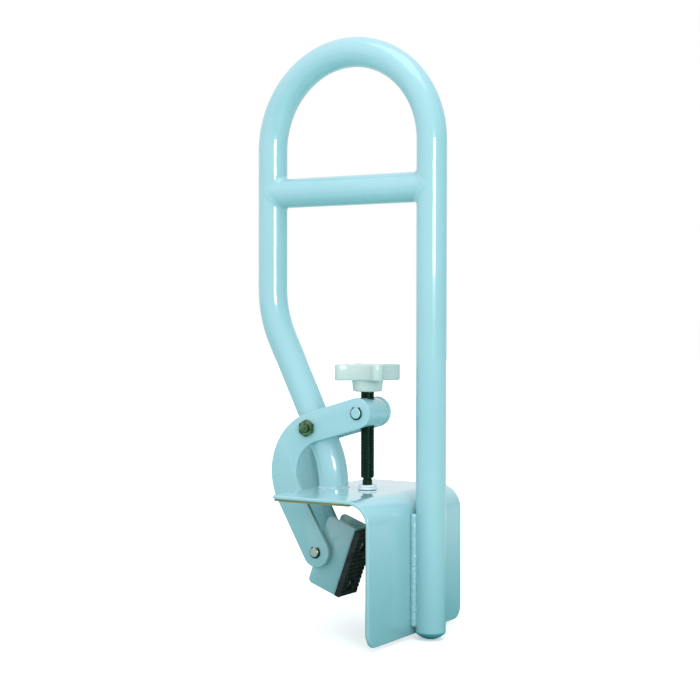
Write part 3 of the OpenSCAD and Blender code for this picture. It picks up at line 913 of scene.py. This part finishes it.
def ring_pair(node, at, edge_r):
    """Washers or spacers: one each side of the middle, sized by the node's box."""
    low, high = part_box(node)
    outer = (high.z - low.z) / 2
    inner_x = min(v.co.x for v in frame["nodes"][node].data.vertices if v.co.x > 0)
    profile = ring_profile(BOLT_HOLE_R, outer, inner_x, high.x, edge_r)
    far = lathe(node, profile, at, "X")
    near = lathe(node, [(r, -h) for r, h in profile], at, "X")
    stand_for(joined([far, near]), node)


def circlip(node, at, bore, outer):
    """Retaining rings, one each side: a band that thins to two lugs beside its opening."""
    low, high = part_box(node)
    thickness = 1 * MM
    opening_turn = math.pi / 2
    half_gap = math.asin(1.9 * MM / bore)
    steps = 72
    outside, inside = [], []
    for k in range(steps + 1):
        turn = opening_turn + half_gap + (2 * math.pi - 2 * half_gap) * k / steps
        from_end = min(k, steps - k) / steps
        middle = 1 - abs(2 * k / steps - 1)
        band = 1.05 * MM + 0.55 * MM * middle
        lug = 0.75 * MM * max(0.0, 1 - (from_end / 0.055) ** 2)
        reach = min(outer, bore + band + lug)
        inside.append(polar(bore, turn))
        outside.append(polar(reach, turn))
    outline = outside + inside[::-1]
    made = []
    for x in (low.x, high.x - thickness):
        obj = across(skin(node, slab(outline, thickness, 0.12 * MM, 2)), x)
        obj.data.transform(Matrix.Translation(at))
        made.append(obj)
    stand_for(joined(made), node)


def pin_profile(half_l, radius, clips, groove_r):
    """Half of a grooved pin's outline, from the groove for its clips to its chamfered end."""
    chamfer = 0.5 * MM
    groove_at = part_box(clips)[1].x - 1.01 * MM
    groove_end = groove_at + GROOVE_W
    return [
        (radius, groove_at), (groove_r, groove_at), (groove_r, groove_end), (radius, groove_end),
        (radius, half_l - chamfer), (radius - chamfer, half_l), (0, half_l),
    ]


def mirrored(half):
    """A whole outline along the axis, from one half of it."""
    return [(r, -h) for r, h in reversed(half)] + half


def jaw_pin():
    low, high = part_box("jaw_pin")
    half = pin_profile(high.x, (high.z - low.z) / 2, "jaw_pin_clips", 3.6 * MM)
    stand_for(lathe("jaw_pin", mirrored(half), JAW, "X"), "jaw_pin")


# ---- the trunnion and the clamp screw ----

def trunnion():
    """The barrel with a pin at each end, bored for the screw."""
    low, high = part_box("trunnion_barrel")
    barrel_r = (high.z - low.z) / 2
    barrel_l = PLATE_X - 0.3 * MM
    edge = 0.9 * MM
    shoulder = [(barrel_r, barrel_l - edge)]
    shoulder += [
        (barrel_r - edge * (1 - math.cos(t)), barrel_l - edge * (1 - math.sin(t)))
        for t in (math.pi / 8, math.pi / 4, 3 * math.pi / 8, math.pi / 2)
    ]
    shoulder.append((PIN_R, barrel_l))
    half = shoulder + pin_profile(high.x, PIN_R, "trunnion_clips", 4.1 * MM)
    obj = lathe("trunnion", mirrored(half), TRUNNION, "X", 96)
    combine(obj, [bar(SCREW_HOLE_R, TRUNNION, "Z", 60 * MM, 64)])
    stand_for(obj, "trunnion_barrel")


def foot():
    """A white cup for the screw's end: a flange below, a groove, and a smaller collar above."""
    low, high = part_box("screw_foot")
    r = (high.x - low.x) / 2
    bore = 4.21 * MM
    floor_t = 1.4 * MM
    height = high.z - low.z
    corners = [
        (0, 0), (r - 0.4 * MM, 0), (r, 0.5 * MM), (r, 1.6 * MM), (r - 0.9 * MM, 1.9 * MM),
        (r - 0.9 * MM, 2.2 * MM), (r - 0.35 * MM, 2.5 * MM), (r - 0.35 * MM, height - 0.3 * MM),
        (r - 0.8 * MM, height), (bore + 0.5 * MM, height), (bore, height - 0.5 * MM), (bore, floor_t),
        (0, floor_t),
    ]
    radii = [0, 0.3 * MM, 0.3 * MM, 0.25 * MM, 0.1 * MM, 0.1 * MM, 0.2 * MM, 0.3 * MM, 0.25 * MM,
             0.15 * MM, 0.15 * MM, 0, 0]
    profile = [(max(0, p[0]), p[1]) for p in rounded(corners, radii, 3)]
    stand_for(lathe("foot", profile, (0, TRUNNION.y, low.z), segments=80), "screw_foot")


def clamp_screw():
    low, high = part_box("clamp_screw")
    thread_z = TOP_Z + 10 * MM
    dog_r = 4.15 * MM
    centre = (0, TRUNNION.y, 0)
    rod = threaded_rod(
        "rod", thread_z, high.z, centre, "Z",
        root_r=5.3 * MM, crest_r=(high.x - low.x) / 2, end_r=dog_r + 0.5 * MM, pitch=1.75 * MM)
    neck = 0.5 * MM
    dog_profile = [
        (0, low.z), (dog_r - 0.4 * MM, low.z), (dog_r, low.z + 0.4 * MM), (dog_r, thread_z - 1.6 * MM),
        (dog_r - neck, thread_z - 1.2 * MM), (dog_r - neck, thread_z - 0.3 * MM),
        (dog_r, thread_z), (0, thread_z),
    ]
    dog = lathe("dog", dog_profile, centre)
    stand_for(joined([rod, dog]), "clamp_screw")


def knob_outline(radius):
    """Four narrow round-ended lobes joined by deep round bays, counter-clockwise."""
    steps_tip, steps_bay = 10, 22
    tip_half_w = 4.5 * MM
    tip_r = 3.6 * MM
    tip_centre = radius - tip_r
    waist = 15.2 * MM
    # the bay touches the waist on the diagonal and runs into the lobe's straight side
    side_at = tip_centre - 1.5 * MM
    reach = (side_at ** 2 + tip_half_w ** 2 - waist ** 2) / (
        2 * ((side_at + tip_half_w) * math.cos(math.pi / 4) - waist))
    bay_r = reach - waist
    bay = polar(reach, math.pi / 4)
    first = Vector((side_at, tip_half_w)) - bay
    last = Vector((tip_half_w, side_at)) - bay
    start = math.atan2(first.y, first.x)
    sweep = (math.atan2(last.y, last.x) - start) % (2 * math.pi) - 2 * math.pi
    quarter = []
    for k in range(steps_tip + 1):
        turn = -math.pi / 2 + math.pi * k / steps_tip
        y = tip_half_w * math.sin(turn)
        x = tip_centre + tip_r * abs(math.cos(turn)) ** 0.8
        quarter.append(Vector((x, y)))
    for k in range(1, steps_bay):
        turn = start + sweep * k / steps_bay
        quarter.append(bay + bay_r * polar(1, turn))
    return [Matrix.Rotation(-math.pi / 2 * q, 2).inverted() @ p for q in range(4) for p in quarter]


def knob():
    """The ivory hand knob: lobes with soft edges on a round hub, bored for its steel bush."""
    low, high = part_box("hand_knob")
    insert_low, insert_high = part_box("knob_insert")
    plug_low, plug_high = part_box("knob_plug")
    lobes_r = 29 * MM
    turn = math.radians(50)
    knob_z = low.z + 9.5 * MM
    centre = Vector((0, TRUNNION.y, 0))
    lobes = skin("lobes", slab(knob_outline(lobes_r), high.z - knob_z, 1.5 * MM, 4), smooth_angle=45)
    lobes.data.transform(
        Matrix.Translation(centre + Vector((0, 0, knob_z))) @ Matrix.Rotation(turn, 4, "Z"))
    hub_r = 13.2 * MM
    hub_top = knob_z + 1 * MM
    hub_outline = rounded(
        [(0, low.z), (hub_r - 0.5 * MM, low.z), (hub_r + 0.15 * MM, hub_top), (0, hub_top)],
        [0, 1.9 * MM, 0, 0], 6)
    hub = lathe("hub", [(max(0, p[0]), p[1]) for p in hub_outline], centre)
    combine(lobes, [hub], "UNION", 45)
    spare = 10 * MM
    insert_r = (insert_high.x - insert_low.x) / 2 + TOUCH_GAP
    plug_r = (plug_high.x - plug_low.x) / 2 + TOUCH_GAP
    bore = lathe("bore", rectangle(0, low.z - spare, insert_r, insert_high.z + TOUCH_GAP), centre)
    seat = lathe("seat", rectangle(0, plug_low.z - TOUCH_GAP, plug_r, high.z + spare), centre)
    combine(lobes, [bore, seat], smooth_angle=45)
    stand_for(lobes, "hand_knob")


def knob_fittings():
    """The steel bush in the knob, and the dished plug over it."""
    low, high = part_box("knob_insert")
    centre = (0, TRUNNION.y, 0)
    bore_r = 6.03 * MM
    profile = ring_profile(bore_r, (high.x - low.x) / 2, low.z, high.z, 0.35 * MM)
    stand_for(lathe("insert", profile, centre), "knob_insert")
    low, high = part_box("knob_plug")
    outer = (high.x - low.x) / 2
    rim = outer - 1.1 * MM
    profile = [
        (0, low.z), (outer, low.z), (outer, high.z - 0.5 * MM), (outer - 0.15 * MM, high.z - 0.15 * MM),
        (outer - 0.5 * MM, high.z), (rim, high.z), (rim - 0.5 * MM, high.z - 0.35 * MM),
        (rim * 0.5, high.z - 0.22 * MM), (0, high.z - 0.15 * MM),
    ]
    stand_for(lathe("plug", profile, centre), "knob_plug")


# ---- the jaw ----

SHOE_TILT = math.radians(20)
SHOE_FRONT = -28 * MM
SHOE_BACK = 2 * MM
SHOE_TOP = 33 * MM
SHOE_BOTTOM = -29 * MM
CHEEK_T = 2.5 * MM
PAD_T = 5 * MM
RIVET_RISES = (-18 * MM, 18 * MM)


def in_shoe(obj):
    """Moves a mesh from the shoe's own frame, with its origin on the jaw pin, into place."""
    turn = Matrix.Rotation(SHOE_TILT, 4, "X")
    obj.data.transform(Matrix.Translation(JAW) @ turn)
    return obj


def shoe():
    """A bent channel: its web carries the pad, and its cheeks turn on the jaw pin."""
    half_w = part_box("jaw_shoe")[1].x
    inner_w = half_w - CHEEK_T
    outer_r, inner_r = 3.6 * MM, 1.1 * MM
    back, web = SHOE_BACK + 14 * MM, SHOE_FRONT + CHEEK_T
    section = rounded(
        [(-half_w, back), (-half_w, SHOE_FRONT), (half_w, SHOE_FRONT), (half_w, back),
         (inner_w, back), (inner_w, web), (-inner_w, web), (-inner_w, back)],
        [0, outer_r, outer_r, 0, 0, inner_r, inner_r, 0], 6)
    spare = 5 * MM
    rings = [[Vector((p.x, p.y, z)) for p in section] for z in (SHOE_BOTTOM - spare, SHOE_TOP + spare)]
    channel = skin("channel", rings)
    side = rounded(
        rectangle(SHOE_FRONT - 1 * MM, SHOE_BOTTOM, SHOE_BACK, SHOE_TOP), [0, 4 * MM, 4 * MM, 0], 8)
    profile = across(skin("profile", slab(side, 4 * half_w, 0, 1)), -2 * half_w)
    ear = bar(11 * MM, (0, 0, 0), "X", 4 * half_w, 64)
    combine(profile, [ear], "UNION")
    combine(channel, [profile], "INTERSECT")
    combine(channel, [bar(BOLT_HOLE_R, (0, 0, 0), length=60 * MM)])
    soften = channel.modifiers.new("soften", "BEVEL")
    soften.width = 0.35 * MM
    soften.segments = 2
    soften.limit_method = "ANGLE"
    soften.angle_limit = math.radians(50)
    apply_modifiers(channel)
    shade(channel, 40)
    stand_for(in_shoe(channel), "jaw_shoe")


def pad():
    """The rubber pad: ribs across its gripping face and a sunk seat for each rivet."""
    half_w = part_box("jaw_pad")[1].x
    rib = 4 * MM
    low, high = SHOE_BOTTOM + 1 * MM, SHOE_TOP - 1 * MM
    front, back = SHOE_FRONT - PAD_T, SHOE_FRONT - TOUCH_GAP
    edge = [(back, low), (back, high), (front + 0.8 * MM, high), (front, high - 0.8 * MM)]
    count = int((high - low - 3 * MM) / rib)
    start = (high + low) / 2 + count * rib / 2
    for k in range(count):
        top = start - k * rib
        edge += [(front, top - 0.2 * MM), (front + 0.7 * MM, top - 0.5 * MM)]
        edge += [(front + 0.7 * MM, top - 1.3 * MM), (front, top - 1.6 * MM)]
    edge += [(front, low + 0.8 * MM), (front + 0.8 * MM, low)]
    outline = [Vector(p) for p in reversed(edge)]
    obj = across(skin("pad", slab(outline, 2 * half_w, 0.25 * MM, 2), smooth_angle=30), -half_w)
    seat_r, hole_r = 4.8 * MM, 2.42 * MM
    seat = [
        (0, -1 * MM), (seat_r, -1 * MM), (seat_r, 3 * MM), (hole_r, 3 * MM), (hole_r, 8 * MM), (0, 8 * MM),
    ]
    combine(obj, [stud("seat", seat, front, rise) for rise in RIVET_RISES], smooth_angle=30)
    stand_for(in_shoe(obj), "jaw_pad")


def stud(name, profile, front, rise):
    """A turned solid along the shoe's own depth, starting at its front face."""
    obj = lathe(name, profile, (0, 0, 0), "Z", 40)
    obj.data.transform(Matrix.Translation((0, front, rise)) @ Matrix.Rotation(-math.pi / 2, 4, "X"))
    return obj


def rivets():
    front = SHOE_FRONT - PAD_T
    head = 2.02 * MM
    tail = PAD_T + CHEEK_T
    made = []
    for rise in RIVET_RISES:
        profile = rounded(
            [(0, head), (4.6 * MM, head), (4.6 * MM, head + 0.96 * MM), (2.4 * MM, head + 0.96 * MM),
             (2.4 * MM, tail), (3.6 * MM, tail), (3.2 * MM, tail + 1.2 * MM), (0, tail + 1.2 * MM)],
            [0, 0.3 * MM, 0.1 * MM, 0, 0, 0.2 * MM, 0.5 * MM, 0], 3)
        made.append(stud("rivet", [(max(0, p[0]), p[1]) for p in profile], front, rise))
    stand_for(in_shoe(joined(made)), "pad_rivets")


# ---- the studio ----

CAMERA_AT = Vector((-1.0915, -0.6618, 0.1487))
CAMERA_TURN = math.radians(31.58)
CAMERA_DIP = math.radians(1.12)
CAMERA_ROLL = math.radians(0.10)
SKY_DARK = (0.80, 0.88, 0.92, 1)
SKY_BRIGHT = (0.98, 1.00, 1.08, 1)
SKY_DIP = (0.34, 0.50, 0.54, 1)
# floor colours that only the object sees: dark teal close to it, as painted shade on its low parts, and paler far
# off
NEAR_SHADED_BOUNCE = (0.12, 0.36, 0.34, 1)
FAR_BOUNCE = (0.66, 0.84, 0.80, 1)


def aimed(obj, at, forward, roll=0.0):
    obj.matrix_world = Matrix.Translation(at) @ (
        Vector(forward).to_track_quat("-Z", "Y").to_matrix().to_4x4() @ Matrix.Rotation(roll, 4, "Z"))


def camera():
    data = bpy.data.cameras.new("camera")
    data.lens = 77.0
    data.sensor_width = 36.0
    obj = linked("camera", data)
    level = math.cos(CAMERA_DIP)
    forward = (math.cos(CAMERA_TURN) * level, math.sin(CAMERA_TURN) * level, -math.sin(CAMERA_DIP))
    aimed(obj, CAMERA_AT, forward, CAMERA_ROLL)
    bpy.context.scene.camera = obj


def softbox(name, at, target, width, height, power, colour=(1, 1, 1)):
    data = bpy.data.lights.new(name, "AREA")
    data.shape = "RECTANGLE"
    data.size, data.size_y = width, height
    data.energy = power
    data.color = colour
    aimed(linked(name, data), Vector(at), Vector(target) - Vector(at))


def studio():
    """A pale floor under a soft sky, a narrow lamp beside the camera and a broad one above."""
    floor(CAD_BOX[0][2] - 0.2 * MM)
    softbox("key", (-1.01, -1.17, 0.37), (0, 0, 0.25), 0.5, 0.28, 5.5)
    softbox("overhead", (-0.5, -0.4, 2.0), (0, 0, 0.1), 1.5, 1.5, 11, (0.86, 0.95, 1))
    bpy.context.scene.world = sky()
    bpy.context.scene.view_settings.view_transform = "Standard"


def sky():
    """White behind the object, and a soft gradient round it: bright at the camera, dim to its right."""
    world = bpy.data.worlds.new("studio")
    world.use_nodes = True
    build = Nodes(world.node_tree)
    direction = build.node("ShaderNodeTexCoord").outputs["Generated"]

    def towards(axis, low, high):
        """How far a ray's direction points along axis, from low to high, as 0 to 1."""
        aim = Vector(axis).normalized()
        dot = build.operation("ShaderNodeVectorMath", "DOT_PRODUCT", direction, aim)
        span = build.node("ShaderNodeMapRange", Value=dot.outputs["Value"], From_Min=low, From_Max=high)
        span.interpolation_type = "SMOOTHSTEP"
        return span.outputs["Result"]

    lit = build.blend(towards((-0.88, -0.36, 0.30), -1.0, 1.0), SKY_DARK, SKY_BRIGHT)
    shaded = build.blend(towards((0.45, -0.86, -0.22), 0.1, 1.0), lit, SKY_DIP)
    camera_ray = build.node("ShaderNodeLightPath").outputs["Is Camera Ray"]
    colour = build.blend(camera_ray, shaded, (1, 1, 1, 1))
    build.feed(build.tree.nodes["Background"].inputs["Color"], colour)
    return world


def floor(floor_z):
    """A wide pale floor that fades into the white. The object alone sees it darker and greener, darkest close by,
    as painted shade on its low parts.
    """
    mesh_data = bmesh.new()
    bmesh.ops.create_circle(mesh_data, cap_ends=True, radius=9, segments=128)
    bmesh.ops.translate(mesh_data, verts=mesh_data.verts, vec=(0, 0, floor_z))
    obj = finished("floor", mesh_data, 60)
    look = Look("floor")
    tone = look.uneven(3, 3)
    seen = look.node("ShaderNodeLightPath").outputs["Is Camera Ray"]
    away = look.operation("ShaderNodeVectorMath", "LENGTH", look.place).outputs["Value"]
    fade = look.operation("ShaderNodeMath", "MULTIPLY", look.between(away, 0.3, 1.4, 0.4, 1.0), seen)
    pale = look.blend(tone, linear(240, 243, 244), linear(245, 248, 248))
    # painted shade: the floor is darkest round the object, for the object's rays only
    bounce = look.blend(look.between(away, 0.2, 0.8), NEAR_SHADED_BOUNCE, FAR_BOUNCE)
    look.set(
        Base_Color=look.blend(seen, bounce, pale),
        Roughness=look.uneven(40, 4, 0.75, 0.9),
        Specular_IOR_Level=0.1,
        Emission_Color=(1, 1, 1, 1),
        Emission_Strength=fade.outputs["Value"],
    )
    look.relief(look.grain(300, 3), 0.02 * MM)
    obj.data.materials.append(look.material)
    return obj


# ---- everything, in order ----

hoop()
crossbar()
crossbar_welds()
saddle()
end_cap()
outer_leg_welds()
foot_weld()
liner("top_liner", "Z")
liner("wall_liner", "Y")
sleeve()
lever_plate("lever_plate_near")
lever_plate("lever_plate_far")
pivot_bolt()
pivot_nut()
ring_pair("thrust_washers", PIVOT, 0.15 * MM)
jaw_pin()
circlip("jaw_pin_clips", JAW, bore=3.62 * MM, outer=5.4 * MM)
trunnion()
circlip("trunnion_clips", TRUNNION, bore=4.12 * MM, outer=6 * MM)
foot()
clamp_screw()
knob()
knob_fittings()
shoe()
ring_pair("jaw_spacers", JAW, 0.3 * MM)
pad()
rivets()
studio()
camera()
